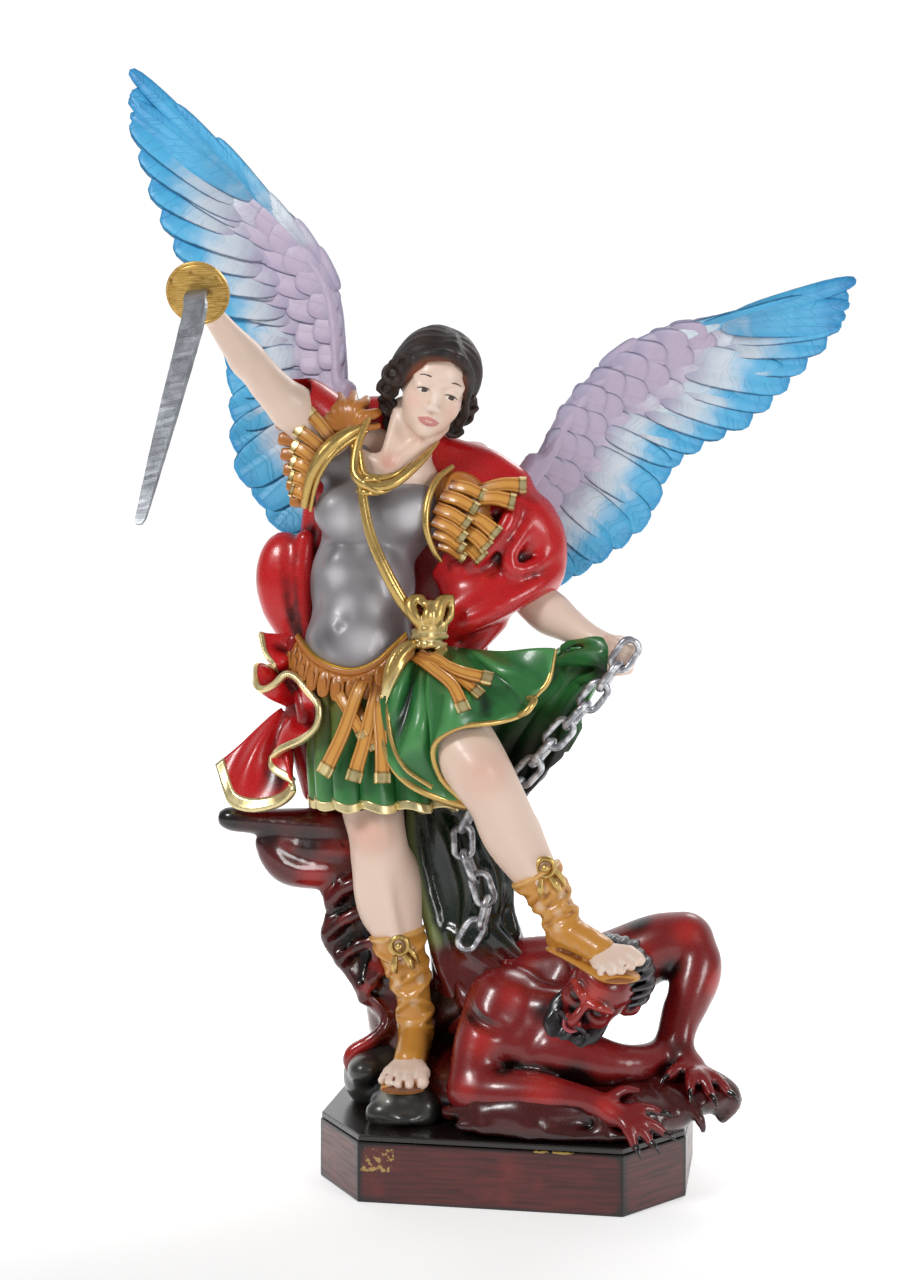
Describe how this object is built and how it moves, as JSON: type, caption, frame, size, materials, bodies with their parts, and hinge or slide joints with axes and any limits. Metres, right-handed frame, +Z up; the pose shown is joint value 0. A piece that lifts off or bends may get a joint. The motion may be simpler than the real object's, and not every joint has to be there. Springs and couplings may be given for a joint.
{
  "type": "archangel michael statue",
  "caption": "Painted resin statue of a winged archangel in armour with a raised sword and a chain, treading down a prone devil, on a low wooden plinth with cut corners.",
  "frame": {"origin": "middle of the plinth's underside", "axes": "+Z up along the statue's height, the plinth's long front face looks along -Y"},
  "size_m": [0.6753, 0.5013, 1.0071],
  "materials": {
    "plinth": "stained dark mahogany red, satin varnish, rubbed dark along the edges",
    "painted_casting": "cast resin, hand painted and airbrushed, satin varnish with gilt trims",
    "painted_wings": "cast resin, airbrushed blue to white to lilac with a dark wash, satin",
    "sword": "silver painted blade with a brushed gilt guard"
  },
  "bodies": {
    "root": {"plinth": "plinth", "statue_group": "painted_casting", "wing_sword_side": "painted_wings", "wing_chain_side": "painted_wings", "sword": "sword"}
  },
  "joints": []
}
